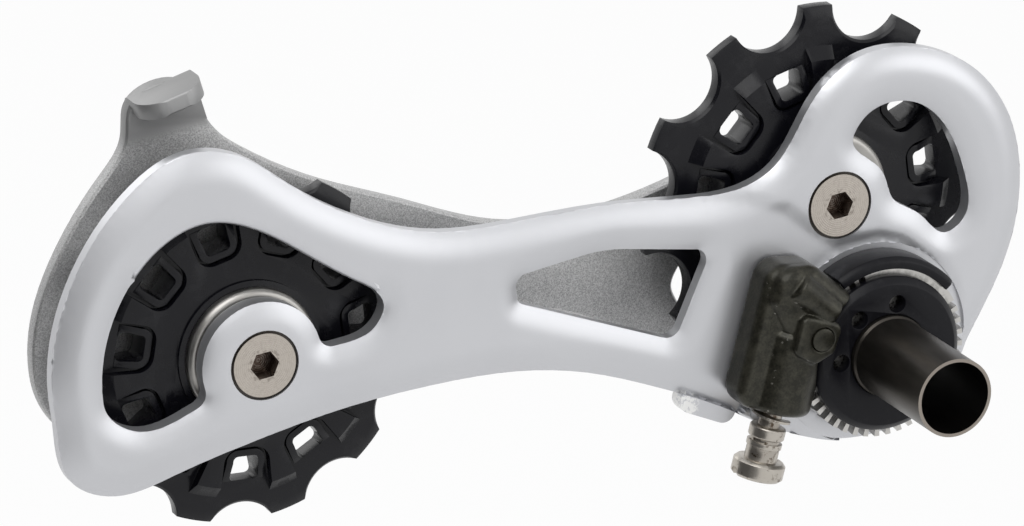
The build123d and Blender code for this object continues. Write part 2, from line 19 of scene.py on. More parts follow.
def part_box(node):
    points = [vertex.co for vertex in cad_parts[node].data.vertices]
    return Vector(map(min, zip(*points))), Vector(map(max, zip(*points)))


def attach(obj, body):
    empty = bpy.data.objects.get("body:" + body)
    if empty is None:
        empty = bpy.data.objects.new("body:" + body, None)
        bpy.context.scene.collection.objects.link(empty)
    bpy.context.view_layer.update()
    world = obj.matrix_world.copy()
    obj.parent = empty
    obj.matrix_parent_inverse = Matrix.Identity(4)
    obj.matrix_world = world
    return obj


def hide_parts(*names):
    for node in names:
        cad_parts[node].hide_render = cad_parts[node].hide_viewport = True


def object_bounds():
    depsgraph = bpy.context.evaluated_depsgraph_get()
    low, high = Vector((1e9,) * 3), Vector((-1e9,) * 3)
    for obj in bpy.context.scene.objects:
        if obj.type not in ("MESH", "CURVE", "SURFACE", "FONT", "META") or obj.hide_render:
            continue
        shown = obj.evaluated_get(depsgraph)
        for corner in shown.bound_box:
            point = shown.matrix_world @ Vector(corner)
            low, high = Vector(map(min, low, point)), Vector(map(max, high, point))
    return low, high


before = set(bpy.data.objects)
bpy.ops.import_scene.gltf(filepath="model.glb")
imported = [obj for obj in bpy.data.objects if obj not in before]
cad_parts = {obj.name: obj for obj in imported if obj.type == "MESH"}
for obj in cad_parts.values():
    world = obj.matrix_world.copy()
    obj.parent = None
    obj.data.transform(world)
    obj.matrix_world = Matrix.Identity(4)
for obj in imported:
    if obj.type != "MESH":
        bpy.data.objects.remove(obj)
cad_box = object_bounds()
MM = 0.001
print("solids loaded:", len(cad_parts))

# %% [markdown]
# ## Where things are
# All places are in the frame of the solids, in millimetres here. X runs along the line of the
# wheels' axes, Z across it in the plane of the plates, and the outer side faces -Y.

# %% The three axes
guide_axis = (-2.3, 18.0)
tension_axis = (-74.8, 18.0)
pivot_axis = (0.0, 0.0)
worm_lean = math.radians(21.5)
print("distance between the wheels:", guide_axis[0] - tension_axis[0], "mm")

# %% [markdown]
# ## Shader sums that read like sums
# A finish is worked out from small sums: a noise plus a mask, one minus a distance. Typed out node
# by node they are hard to follow, so a wire here wraps one output socket, and +, -, * and / between
# wires add the Math nodes. Every other node comes from the one method called node.

# %% A wire between shader nodes
class Wire:
    """One output socket of a shader node. Arithmetic on it adds Math nodes to its tree."""

    def __init__(self, tree, socket):
        self.tree = tree
        self.socket = socket

    def node(self, kind, settings=None, values=None, output=0):
        """Adds a node: its type, its settings, then the values or wires of its sockets."""
        made = self.tree.nodes.new("ShaderNode" + kind)
        for name, setting in (settings or {}).items():
            setattr(made, name, setting)
        for name, value in (values or {}).items():
            if isinstance(value, Wire):
                self.tree.links.new(value.socket, made.inputs[name])
            else:
                made.inputs[name].default_value = value
        return Wire(self.tree, made.outputs[output])

    def maths(self, operation, other=0.0):
        """A Math node with this wire as its first value."""
        return self.node("Math", {"operation": operation}, {0: self, 1: other})

    def __add__(self, other):
        return self.maths("ADD", other)

    def __sub__(self, other):
        return self.maths("SUBTRACT", other)

    def __rsub__(self, other):
        return self.node("Math", {"operation": "SUBTRACT"}, {0: other, 1: self})

    def __mul__(self, other):
        return self.maths("MULTIPLY", other)

    def __truediv__(self, other):
        return self.maths("DIVIDE", other)

    __radd__ = __add__
    __rmul__ = __mul__

    def step(self, low, high, start=0.0, end=1.0):
        """A smooth step: start below low, end above high."""
        values = {"Value": self, "From Min": low, "From Max": high, "To Min": start, "To Max": end}
        return self.node("MapRange", {"interpolation_type": "SMOOTHSTEP"}, values)

    def fade(self, low, high):
        """The step turned round: one below low, nothing above high."""
        return self.step(low, high, 1.0, 0.0)

    def stretched(self, scale):
        """A place with its axes scaled. A small scale draws a noise out along that axis."""
        return self.node("Mapping", {}, {"Vector": self, "Scale": scale})

    def tint(self, dark, light):
        """A colour between two colours or wires, with this wire as the share of the second."""
        return self.node("Mix", {"data_type": "RGBA"}, {0: self, 6: dark, 7: light}, output=2)

    def noise(self, size, detail=3.0, roughness=0.5):
        """Cloudy noise from 0 to 1 whose lumps are about size millimetres across."""
        values = {"Vector": self, "Scale": 1 / (size * MM), "Detail": detail, "Roughness": roughness}
        return self.node("TexNoise", {}, values)

    def bump(self, height, distance, strength=1.0):
        """A bumped normal from a height of 0 to 1, distance in millimetres."""
        return self.node("Bump", {}, {"Height": height, "Distance": distance * MM, "Strength": strength})

# %% [markdown]
# ## Starting a finish
# Each finish is one Principled shader. What is the same all over the surface is set on the
# shader's own sockets, and what changes over it is wired in. Object coordinates stay with the
# metal when a body moves, so no pattern slides.

# %% Start a finish and measure on it
def start_finish(name, constants):
    """A new material with its shader and a wire of Object coordinates."""
    material = bpy.data.materials.new(name)
    material.use_nodes = True
    tree = material.node_tree
    shader = tree.nodes["Principled BSDF"]
    for socket, value in constants.items():
        shader.inputs[socket].default_value = value
    place = Wire(tree, tree.nodes.new("ShaderNodeTexCoord").outputs["Object"])
    print("finish:", name)
    return material, shader, place


def connect(shader, wires):
    """Wires what varies over the surface into the shader."""
    for socket, wire in wires.items():
        wire.tree.links.new(wire.socket, shader.inputs[socket])


def parts_of(place):
    """The three coordinates of a place as wires, in metres."""
    split = place.node("SeparateXYZ", {}, {"Vector": place})
    return [Wire(place.tree, split.socket.node.outputs[i]) for i in range(3)]


def from_axis(place, axis):
    """Distance from an axis along Y, in millimetres, as a wire."""
    x, _, z = parts_of(place)
    across = x / MM - axis[0]
    up = z / MM - axis[1]
    return (across * across + up * up).maths("SQRT")


def from_bolts(place):
    """Distance from the nearer bolt's axis, in millimetres, as a wire."""
    return from_axis(place, guide_axis).maths("MINIMUM", from_axis(place, tension_axis))

# %% [markdown]
# ## The silver of the outer plate
# The real plate is a die casting with a satin silver finish. It is bright but never mirrors. A very
# fine grain in its skin and faint stripes along Z spread its highlights. Where the lug at the lower
# edge has met its stop, the finish is scraped down to white metal. The narrow gaps round the bolt
# heads are painted nearly black, a painted shade for the shadow that falls in them.

# %% Satin silver
lug_end = (-24.2, -1.5)
seat_radius = 4.1
silver, shader, place = start_finish("plate_silver", {"Metallic": 0.8, "IOR": 1.45})
depth = parts_of(place)[1] / MM
grain = place.noise(0.12, 2.0)
cloud = place.noise(14.0, 4.0, 0.6)
stripes = place.stretched((1.0, 1.0, 0.12)).noise(0.35, 3.0)
from_lug_end = from_axis(place, lug_end)
scrape = (place.noise(0.7, 4.0, 0.7) - from_lug_end * 0.1).step(0.30, 0.42)
scrape = scrape * from_lug_end.fade(1.5, 2.1)
shade = cloud.tint((0.53, 0.535, 0.555, 1.0), (0.58, 0.585, 0.605, 1.0))
round_head = from_bolts(place).fade(seat_radius + 0.02, seat_radius + 0.1)
# Painted shade: the gap round each bolt head, below the front, is painted nearly black.
gap_shade = round_head * depth.step(0.25, 0.45)
shade = gap_shade.tint(shade, (0.06, 0.055, 0.05, 1))
connect(shader, {
    "Base Color": scrape.tint(shade, (0.82, 0.82, 0.81, 1)),
    "Roughness": cloud * 0.08 + stripes * 0.05 + scrape * 0.15 + 0.31,
    "Normal": place.bump(grain * 0.6 + stripes * 0.4, 0.004, 0.5),
})

# %% [markdown]
# ## The blasted inner plate
# The sheet plate was blasted, so its skin is a field of tiny pits that sparkle grey. Two fine
# noises of different size give light and dark grains, and the same grains drive the bump. The tab
# that was bent out of the plate is rubbed smooth, so the grains stop there. Its colour is also
# painted darker, a painted shade for the tab, which faces up into the key lamp.

# %% Blasted grey
blasted, shader, place = start_finish("plate_blasted", {"Metallic": 0.85})
pits = place.noise(0.15, 2.0, 0.6)
grit = place.noise(0.07, 2.0, 0.7)
cloud = place.noise(9.0, 3.0)
_, y, z = parts_of(place)
tab = (z / MM).step(42.5, 44.5) + (y / MM).fade(9.6, 10.6)
rough = 1 - tab.maths("MINIMUM", 1.0)
speckle = (pits * 0.6 + grit * 0.4) * rough + (1 - rough) * 0.5
# Painted shade: on the tab the colour share is 0.1, darker than the blasted grains, because the tab
# faces up into the key lamp.
grains = speckle.step(0.34, 0.66) * rough + (1 - rough) * 0.1
connect(shader, {
    "Base Color": grains.tint((0.29, 0.29, 0.29, 1), (0.63, 0.63, 0.63, 1)),
    "Roughness": cloud * 0.12 + speckle * 0.2 + 0.36,
    "Normal": place.bump(speckle, 0.04, 0.5),
})

# %% [markdown]
# ## Black moulded wheels
# The wheels are moulded in black plastic with a soft shine. Moulded plastic is never quite even:
# a faint orange peel breaks up its highlights, and dust dulls it here and there.

# %% Moulded black
moulded, shader, place = start_finish("pulley_black", {"IOR": 1.33})
peel = place.noise(0.5, 3.0, 0.6)
dust = place.noise(2.6, 5.0, 0.65).step(0.5, 0.75)
connect(shader, {
    "Base Color": dust.tint((0.004, 0.004, 0.006, 1), (0.011, 0.011, 0.013, 1)),
    "Roughness": dust * 0.14 + peel * 0.1 + 0.2,
    "Normal": place.bump(peel, 0.02, 0.5),
})

# %% [markdown]
# ## Turned bolts
# Both bolt heads show fine rings from the lathe, about a quarter of a millimetre apart. They are a
# sine of the distance from the bolt's axis. One finish serves both bolts, because the nearer axis
# gives the rings. Spots of dirt lie round the hexagon socket, and the socket itself is painted
# dark brown, a painted shade in its hollow.

# %% Satin nickel with turned rings
radians_per_mm = 26.0
socket_reach = 1.9
nickel, shader, place = start_finish("bolt_nickel", {"Metallic": 1.0})
near = from_bolts(place)
depth = parts_of(place)[1] / MM
rings = (near * radians_per_mm).maths("SINE") * 0.5 + 0.5
wobble = place.noise(0.8, 3.0)
# Painted shade: the hexagon socket's hollow is painted dark brown.
socket = near.fade(socket_reach - 0.15, socket_reach) * depth.step(0.35, 1.6) * depth.fade(4.0, 5.0)
dirt_and_shade = place.noise(0.5, 4.0).step(0.45, 0.65) * near.step(socket_reach, socket_reach + 0.3, 0.4, 0.08)
dirt_and_shade = (dirt_and_shade + rings * 0.12 + socket * 0.8).maths("MINIMUM", 1.0)
connect(shader, {
    "Base Color": dirt_and_shade.tint((0.47, 0.43, 0.385, 1), (0.07, 0.05, 0.04, 1)),
    "Roughness": rings * 0.12 + wobble * 0.1 + 0.2,
    "Normal": place.bump(rings * 0.6 + wobble * 0.4, 0.014, 0.8),
})

# %% [markdown]
# ## Plain steel of caps, bushes and rivets
# These small steel pieces are pressed or ground. A satin grey with a little cloudiness and fine
# hairlines is enough.

# %% Satin steel
steel, shader, place = start_finish("cap_steel", {"Metallic": 1.0})
cloud = place.noise(1.8, 4.0)
hair = place.stretched((0.2, 1.0, 1.0)).noise(0.2, 2.0)
connect(shader, {
    "Base Color": cloud.tint((0.30, 0.29, 0.275, 1), (0.42, 0.41, 0.39, 1)),
    "Roughness": cloud * 0.12 + hair * 0.08 + 0.26,
    "Normal": place.bump(hair, 0.005, 0.5),
})

# %% [markdown]
# ## The blackened sleeve
# The sleeve is blackened steel. Its outer end was cut after blackening, so the rim is bare. The
# sliding of the knuckle has polished long smudges along it. Its bore is painted nearly black, a
# painted shade inside the tube.

# %% Blackened steel
sleeve_end = -20.4
bore_radius = 4.3
blackened, shader, place = start_finish("sleeve_blackened", {"Metallic": 0.9})
rim = (parts_of(place)[1] / MM).fade(sleeve_end + 0.01, sleeve_end + 0.04)
smudge = place.stretched((1.0, 0.25, 1.0)).noise(1.6, 4.0, 0.6)
# Painted shade: the bore inside the sleeve is painted nearly black.
bore_shade = from_axis(place, pivot_axis).fade(bore_radius, bore_radius + 0.15)
dark = smudge.tint((0.034, 0.031, 0.027, 1), (0.095, 0.086, 0.075, 1))
dark = bore_shade.tint(dark, (0.012, 0.011, 0.010, 1))
connect(shader, {
    "Base Color": rim.tint(dark, (0.27, 0.24, 0.21, 1)),
    "Roughness": smudge * 0.2 + 0.27 + bore_shade * 0.1,
    "Normal": place.bump(smudge, 0.01, 0.4),
})

# %% [markdown]
# ## Black flange and guard
# Both are satin black, with cloudy patches where rubbing has made them a little lighter and duller.

# %% Satin black
satin, shader, place = start_finish("flange_black", {"IOR": 1.27})
rub = place.noise(1.1, 4.0, 0.6).step(0.52, 0.78)
skin = place.noise(0.3, 2.0)
connect(shader, {
    "Base Color": rub.tint((0.005, 0.005, 0.007, 1), (0.012, 0.012, 0.014, 1)),
    "Roughness": skin * 0.1 + rub * 0.1 + 0.32,
    "Normal": place.bump(skin, 0.01, 0.5),
})

# %% [markdown]
# ## Bare ring
# The toothed ring is bare steel. Old grease sits between its teeth, below their tips. The part that
# the flange covers is painted dark, a painted shade under the flange.

# %% Bare steel with grease in the gaps
bare, shader, place = start_finish("ring_steel", {"Metallic": 1.0})
radius = from_axis(place, pivot_axis)
cloud = place.noise(0.6, 4.0, 0.6)
# Painted shade: the ring under the flange is painted nearly black, and the grease between the teeth is
# added to it.
shade_under_flange = radius.fade(8.8, 9.1)
grease_and_shade = radius.fade(9.6, 10.2) * cloud.step(0.4, 0.6) * 0.3 + shade_under_flange * 0.7
connect(shader, {
    "Base Color": grease_and_shade.tint((0.50, 0.49, 0.47, 1), (0.012, 0.011, 0.010, 1)),
    "Roughness": cloud * 0.12 + grease_and_shade * 0.2 + 0.24,
    "Normal": place.bump(cloud, 0.01, 0.6),
})

# %% [markdown]
# ## The phosphated housing
# The worm's housing is a small casting with a dark olive phosphate coat. It is mottled and dull,
# and its proud edges have worn in places. The Geometry node's Pointiness finds such edges.

# %% Dark phosphate
phosphate, shader, place = start_finish("housing_phosphate", {"Metallic": 0.55})
mottle = place.noise(1.4, 5.0, 0.62)
fine = place.noise(0.25, 3.0, 0.6)
coat = (mottle * 0.7 + fine * 0.3).step(0.36, 0.66)
edge = place.node("NewGeometry", output="Pointiness").step(0.56, 0.66)
wear = edge * fine.step(0.38, 0.6) * 0.6
colour = coat.tint((0.014, 0.0135, 0.009, 1), (0.042, 0.040, 0.029, 1))
connect(shader, {
    "Base Color": wear.tint(colour, (0.30, 0.29, 0.26, 1)),
    "Roughness": mottle * 0.2 + 0.24,
    "Normal": place.bump(fine * 0.5 + mottle * 0.5, 0.05, 0.6),
})

# %% [markdown]
# ## The worn adjuster screw
# The screw is bare and old: bright where it is rubbed and brown in spots of dirt. Every concave
# corner is painted dark brown too, a painted shade in the thread's hollows.

# %% Worn screw steel
worn, shader, place = start_finish("screw_steel", {"Metallic": 0.95})
# Painted shade: concave corners, found by Pointiness, are painted dark brown.
corner = place.node("NewGeometry", output="Pointiness").fade(0.40, 0.52)
spots = place.noise(0.7, 5.0, 0.7)
dirt_and_shade = (corner + spots.step(0.5, 0.72) * 0.75).step(0.15, 0.8)
connect(shader, {
    "Base Color": dirt_and_shade.tint((0.46, 0.43, 0.385, 1), (0.09, 0.065, 0.045, 1)),
    "Roughness": spots * 0.25 + 0.2,
    "Normal": place.bump(spots, 0.04, 0.6),
})
print("finishes:", len(bpy.data.materials))

# %% [markdown]
# ## From solid to softened piece
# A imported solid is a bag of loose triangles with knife-sharp edges, and no real edge is that sharp.
# The solid itself is left alone: a copy is merged, its flat faces are joined, and a narrow bevel
# breaks the edges so that they catch the light.

# %% Copy, merge, bevel, and hand over
def merged_copy(node):
    """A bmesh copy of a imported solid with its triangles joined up."""
    mesh = bmesh.new()
    mesh.from_mesh(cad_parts[node].data)
    bmesh.ops.remove_doubles(mesh, verts=mesh.verts, dist=0.0005 * MM)
    return mesh


def break_edges(mesh, width, steepness=28.0):
    """Joins flat faces, then bevels every edge steeper than the angle, width in millimetres."""
    nearly_flat = math.radians(0.6)
    steep = math.radians(steepness)
    bmesh.ops.dissolve_limit(mesh, angle_limit=nearly_flat, verts=mesh.verts, edges=mesh.edges)
    sharp = [e for e in mesh.edges if len(e.link_faces) == 2 and e.calc_face_angle(0) > steep]
    bmesh.ops.bevel(mesh, geom=sharp, offset=width * MM, offset_type="OFFSET", segments=2,
                    profile=0.5, affect="EDGES", clamp_overlap=True, material=-1)
    return mesh


def hand_over(mesh, name, node, finish, body):
    """Turns a finished bmesh into a piece that rides on a body in place of its solid.

    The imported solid's stored normals no longer fit the new shape, so they are dropped.
    """
    data = bpy.data.meshes.new(name)
    mesh.normal_update()
    mesh.to_mesh(data)
    mesh.free()
    piece = bpy.data.objects.new(name, data)
    bpy.context.collection.objects.link(piece)
    data.materials.append(finish)
    if "custom_normal" in data.attributes:
        data.attributes.remove(data.attributes["custom_normal"])
    data.shade_smooth()
    data.set_sharp_from_angle(angle=math.radians(38))
    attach(piece, body)
    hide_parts(node)
    print(name, "faces:", len(data.polygons))


def dress(node, finish):
    """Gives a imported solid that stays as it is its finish."""
    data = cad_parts[node].data
    data.materials.clear()
    data.materials.append(finish)

# %% [markdown]
# ## Measuring to the walls of the outer plate
# The outer plate is a casting whose front swells and dips, while the solid has a flat front. To
# sculpt it, each point of the front needs its distance to the outer wall and to the nearest
# window. All walls end at the same depth, where the broken edges of the plate's back begin, so the
# edges at that depth trace them. They fall into groups that hang together, one for each window and
# one or more for the outside. The stop lug interrupts the outer wall, and a straight run bridges it.

# %% Edges that hang together
def linked_groups(edges):
    """Sorts edges into groups of edges that share vertices."""
    groups = []
    left = set(edges)
    while left:
        queue = [left.pop()]
        group = []
        while queue:
            edge = queue.pop()
            group.append(edge)
            for vert in edge.verts:
                for other in vert.link_edges:
                    if other in left:
                        left.remove(other)
                        queue.append(other)
        groups.append(group)
    return groups

# %% Trace the walls
plate_wall_end = 2.7
point_step = 0.15
stop_lug = (-21.2, -2.2)
near_lug = 9
bridge_steps = 60


def from_lug(point):
    """Distance of a point from the middle of the stop lug, in millimetres."""
    return math.hypot(point.x / MM - stop_lug[0], point.z / MM - stop_lug[1])


def flat_tree(points):
    """A search tree of points that leaves their depth out."""
    tree = KDTree(len(points))
    for i, point in enumerate(points):
        tree.insert((point.x, 0, point.z), i)
    tree.balance()
    return tree


def traced_walls(mesh):
    """Two search trees with points along the outer wall and along the windows' walls."""
    low = {v for v in mesh.verts if abs(v.co.y / MM - plate_wall_end) < 0.02}
    rails = {e for e in mesh.edges if e.verts[0] in low and e.verts[1] in low}
    groups = linked_groups(rails)
    spans = []
    for group in groups:
        across = [v.co.x for e in group for v in e.verts]
        spans.append(max(across) - min(across))
    outer, windows = [], []
    for group, span in zip(groups, spans):
        target = outer if span > 0.5 * max(spans) else windows
        for edge in group:
            start, end = (v.co.copy() for v in edge.verts)
            count = max(1, round((end - start).length / (point_step * MM)))
            target.extend(start.lerp(end, i / count) for i in range(count + 1))
    ends = [v.co.copy() for v in low if sum(e in rails for e in v.link_edges) == 1]
    ends = [p for p in ends if from_lug(p) < near_lug]
    if len(ends) == 2:
        outer.extend(ends[0].lerp(ends[1], i / bridge_steps) for i in range(bridge_steps + 1))
    print("wall groups:", len(groups), "points:", len(outer), len(windows))
    return flat_tree(outer), flat_tree(windows)

# %% [markdown]
# ## How far the casting drops below its highest level
# The front is a sum of a few plain shapes. Along the outer edge it falls away in a wide swelling
# curve that ends at a crisp line, where the straight wall begins. Towards both ends that curve is
# narrower, and beyond the tension bolt it is nearly a plain bevel. Round each window there is a
# softer and smaller fall. The flat land round the guide bolt stands a little above the beam, with a
# shoulder between them that is traced by a few points, and the beam is slightly hollow.

# %% The land's shoulder
land_shoulder = [
    (-18.0, 23.6), (-13.2, 22.5), (-8.4, 19.8), (-5.4, 16.6), (-2.6, 14.2), (2.6, 13.9), (5.8, 12.5),
    (8.7, 10.0), (10.9, 7.6), (12.2, 5.0), (12.4, 1.0), (11.4, -4.0), (9.0, -9.0),
]
print("points of the shoulder:", len(land_shoulder))


def smooth_step(value, low, high):
    """A smooth step of a number: nothing below low, one above high."""
    share = min(1.0, max(0.0, (value - low) / (high - low)))
    return share * share * (3 - 2 * share)


def below_land(x, z):
    """Distance from the land's shoulder in millimetres, positive on the beam's side."""
    best = None
    for (x0, z0), (x1, z1) in zip(land_shoulder, land_shoulder[1:]):
        dx, dz = x1 - x0, z1 - z0
        share = max(0.0, min(1.0, ((x - x0) * dx + (z - z0) * dz) / (dx * dx + dz * dz)))
        away = math.hypot(x - x0 - share * dx, z - z0 - share * dz)
        side = dz * (x - x0) - dx * (z - z0)
        if best is None or away < abs(best):
            best = math.copysign(away, side)
    return best

# %% The drop at a point
rim_drop = 1.25
window_drop = 0.8
window_fall_width = 2.9
land_height = 0.42
hollow_depth = 0.22
hollow_middle = 16.0
hollow_half_width = 4.5


def front_drop(x, z, to_wall, to_window):
    """How far the front lies below its highest level, in millimetres."""
    lobe = 1 - smooth_step(x, -84, -74)
    width = 3.9 - 0.7 * smooth_step(x, -14, -6) - 0.7 * lobe
    outer = rim_drop * max(0.0, 1 - to_wall / width) ** (2.1 - 0.9 * lobe)
    near_window = window_drop * max(0.0, 1 - to_window / window_fall_width) ** 1.8
    land = land_height * smooth_step(below_land(x, z), -0.3, 1.6) * smooth_step(x, -62, -30)
    beam = smooth_step(x, -66, -36) * smooth_step(to_wall, 0, 4) * (1 - smooth_step(x, -34, -24))
    hollow = hollow_depth * beam * math.exp(-((z - hollow_middle) / hollow_half_width) ** 2)
    return outer + near_window + land + hollow

# %% [markdown]
# ## Short strips along the rounded edges
# Only vertices can move. The rounded edges of the solid are long strips with vertices at their ends
# alone, so they are cut across at even steps along X and along Z and can then follow the front.

# %% Cut the rounded edges across
facing_front = -0.999
rounded_depth = 1.4
strip_cut = 0.8


def long_strips(mesh, axis, at):
    """The long faces of the rounded edges that a cut at a place on an axis goes through."""
    return [f for f in mesh.faces
            if f.normal.y > facing_front and f.calc_center_median().y < rounded_depth * MM
            and min(v.co[axis] for v in f.verts) < at < max(v.co[axis] for v in f.verts)
            and max(e.calc_length() for e in f.edges) > 1.3 * strip_cut * MM]


def cut_rounded_edges(mesh):
    """Cuts the long strips of the rounded edges across at even steps."""
    low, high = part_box("outer_plate")
    for axis, first, last in ((0, low.x, high.x), (2, low.z, high.z)):
        for step in range(1, int((last - first) / (strip_cut * MM)) + 1):
            at = first + step * strip_cut * MM
            strips = long_strips(mesh, axis, at)
            if strips:
                verts = dict.fromkeys(v for f in strips for v in f.verts)
                edges = dict.fromkeys(e for f in strips for e in f.edges)
                place, normal = Vector((0, 0, 0)), Vector((0, 0, 0))
                place[axis], normal[axis] = at, 1
                bmesh.ops.bisect_plane(mesh, geom=[*verts, *edges, *strips], plane_co=place,
                                       plane_no=normal, dist=0.002 * MM)

# %% [markdown]
# ## An even net over the front
# The flat front has no vertices inside. Its few long triangles are taken out and an even net of
# small ones goes in. The net keeps every point of the rims, so it closes the casting again without
# a gap. It would cover the windows too, so a ray towards each triangle checks that there was a
# front behind it.

# %% The points of the net
front_grid = 0.5
rim_points = 5


def front_faces(mesh):
    """The faces of the plate's flat front."""
    return [f for f in mesh.faces
            if f.normal.y < facing_front and abs(f.calc_center_median().y) < 0.01 * MM]


def grid_points(rim, edges):
    """An even grid in millimetres over the plate's box that keeps clear of the rims."""
    near_rim = KDTree(rim_points * len(edges))
    for i, (start, end) in enumerate(edges):
        for k in range(rim_points):
            at = rim[start].lerp(rim[end], k / rim_points)
            near_rim.insert((at.x, 0, at.y), rim_points * i + k)
    near_rim.balance()
    low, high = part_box("outer_plate")
    points = []
    for i in range(int((high.x - low.x) / (front_grid * MM))):
        for j in range(int((high.z - low.z) / (front_grid * MM))):
            across = low.x / MM + (i + 0.5 * (j % 2)) * front_grid
            up = low.z / MM + j * front_grid
            if near_rim.find((across, 0, up))[2] > 0.6 * front_grid:
                points.append(Vector((across, up)))
    return points

# %% Fill the front with small triangles
def net_over_front(mesh):
    """Replaces the faces of the flat front by an even net of small triangles."""
    solid = BVHTree.FromBMesh(mesh)
    bmesh.ops.delete(mesh, geom=front_faces(mesh), context="FACES")
    rims = [e for e in mesh.edges if e.is_boundary]
    rim_verts = list(dict.fromkeys(v for e in rims for v in e.verts))
    index = {v: i for i, v in enumerate(rim_verts)}
    rim = [Vector((v.co.x / MM, v.co.z / MM)) for v in rim_verts]
    edges = [(index[e.verts[0]], index[e.verts[1]]) for e in rims]
    net = delaunay_2d_cdt(rim + grid_points(rim, edges), edges, [], 1, 0.0001)
    points, triangles, sources = net[0], net[2], net[3]
    made = []
    for point, source in zip(points, sources):
        on_rim = [k for k in source if k < len(rim_verts)]
        if on_rim:
            made.append(rim_verts[on_rim[0]])
        else:
            made.append(mesh.verts.new((point.x * MM, 0, point.y * MM)))
    for corners in triangles:
        centre = sum((made[k].co for k in corners), Vector()) / 3
        hit = solid.ray_cast(centre - Vector((0, MM, 0)), Vector((0, 1, 0)))[0]
        if hit is not None and hit.y < 0.001 * MM:
            mesh.faces.new([made[k] for k in corners])
    bmesh.ops.delete(mesh, geom=[v for v in mesh.verts if not v.link_faces], context="VERTS")
    still_open = sum(e.is_boundary for e in mesh.edges)
    print("faces with the net:", len(mesh.faces), "open edges:", still_open)

# %% [markdown]
# ## Sculpting the casting
# Every vertex of the front and of its rounded edges goes to its new depth. The pocket and the
# groove of the worm stay as they are, because other pieces lie in them, and so does the flat face
# of the stop lug. Next to the pocket the drop is small at first, so that the pocket keeps its rim.

# %% What stays
pocket_wall = 12.3
worm_distance = 11.9
groove_half_width = 2.57
lug_depth = 0.8
lug_reach = 4.5


def stays(point):
    """Whether a vertex belongs to the pocket, the worm's groove or the stop lug's face."""
    x, depth, z = point / MM
    if math.hypot(x, z) < pocket_wall - 0.1:
        return True
    from_worm = abs(x * math.cos(worm_lean) - z * math.sin(worm_lean) + worm_distance)
    if depth > 0.01 and from_worm < groove_half_width and z < 1:
        return True
    return abs(depth - lug_depth) < 0.004 and from_lug(point) < lug_reach

# %% Sculpt the outer plate
deepest_front = 1.32
outer_edge_reach = 1.6
window_edge_reach = 1.1
pocket_rim_drop = 0.34
pocket_surround = 14
pocket_slope = 0.8


def sculpted_plate():
    """The outer plate's casting with its front sculpted."""
    mesh = merged_copy("outer_plate")
    outer_tree, window_tree = traced_walls(mesh)
    cut_rounded_edges(mesh)
    net_over_front(mesh)
    moved = 0
    for vert in mesh.verts:
        x, depth, z = vert.co / MM
        if depth > deepest_front or stays(vert.co):
            continue
        flat = Vector((vert.co.x, 0, vert.co.z))
        to_wall = outer_tree.find(flat)[2] / MM
        to_window = window_tree.find(flat)[2] / MM
        from_pivot = math.hypot(x, z)
        drop = front_drop(x, z, to_wall, to_window)
        if from_pivot < pocket_surround:
            from_pocket = max(0.0, from_pivot - pocket_wall)
            drop = min(drop, pocket_rim_drop + from_pocket * pocket_slope)
        if depth < 0.001 or to_wall < outer_edge_reach or to_window < window_edge_reach:
            vert.co.y = drop * MM
            moved += 1
    print("front vertices moved:", moved)
    bmesh.ops.triangulate(mesh, faces=[f for f in mesh.faces if len(f.verts) > 3])
    bmesh.ops.recalc_face_normals(mesh, faces=mesh.faces)
    return mesh


hand_over(sculpted_plate(), "outer_plate_casting", "outer_plate", silver, "cage")

# %% [markdown]
# ## Moulded wheels with soft edges
# Nothing comes out of a mould with a sharp edge, so the wheels' edges are broken all round.

# %% Soften the wheels
for node, body in (("guide_pulley", "guide_wheel"), ("tension_pulley", "tension_wheel")):
    wheel = break_edges(merged_copy(node), width=0.16)
    hand_over(wheel, node + "_moulded", node, moulded, body)

# %% [markdown]
# ## The cast housing
# A small casting has melted-looking corners: every hollow is filled a little and every edge is
# round. Rebuilding the solid from fine cubes and smoothing the result a few times does just that.

# %% Recast the housing
def recast(mesh, cube, passes):
    """Rebuilds a closed mesh from cubes of a size in millimetres and smooths it."""
    data = bpy.data.meshes.new("recast")
    mesh.to_mesh(data)
    mesh.free()
    item = bpy.data.objects.new("recast", data)
    bpy.context.collection.objects.link(item)
    rebuild = item.modifiers.new("rebuild", "REMESH")
    rebuild.mode = "VOXEL"
    rebuild.voxel_size = cube * MM
    ease = item.modifiers.new("ease", "SMOOTH")
    ease.factor = 0.5
    ease.iterations = passes
    depsgraph = bpy.context.evaluated_depsgraph_get()
    rebuilt = bmesh.new()
    rebuilt.from_mesh(item.evaluated_get(depsgraph).data)
    bpy.data.objects.remove(item)
    bpy.data.meshes.remove(data)
    return rebuilt


housing = recast(merged_copy("worm_housing"), cube=0.14, passes=8)
hand_over(housing, "worm_housing_casting", "worm_housing", phosphate, "cage")

# %% [markdown]
# ## Small turned and pressed pieces
# The sheet plate has small broken edges from tumbling. The screw, the flange, the ear's pin and the
# guard get them too, in a width that suits each.

# %% Break the edges of sheet and screw
sheet = break_edges(merged_copy("inner_plate"), width=0.22)
hand_over(sheet, "inner_plate_sheet", "inner_plate", blasted, "cage")
screw = break_edges(merged_copy("worm_screw"), width=0.12, steepness=35)
hand_over(screw, "worm_screw_worn", "worm_screw", worn, "adjuster_screw")
flange = break_edges(merged_copy("spring_flange"), width=0.12)
hand_over(flange, "spring_flange_satin", "spring_flange", satin, "spring_ring")
pin = break_edges(merged_copy("ear_pin"), width=0.2)
hand_over(pin, "ear_pin_worn", "ear_pin", phosphate, "cage")
guard = break_edges(merged_copy("ring_guard"), width=0.15)
hand_over(guard, "ring_guard_satin", "ring_guard", satin, "cage")

# %% [markdown]
# ## Pieces that keep their solids
# Bolts, caps, bushes, washer, rivets, sleeve and ring are turned, pressed or cut to shapes that the
# solids already have. They stay in place and only get a finish.

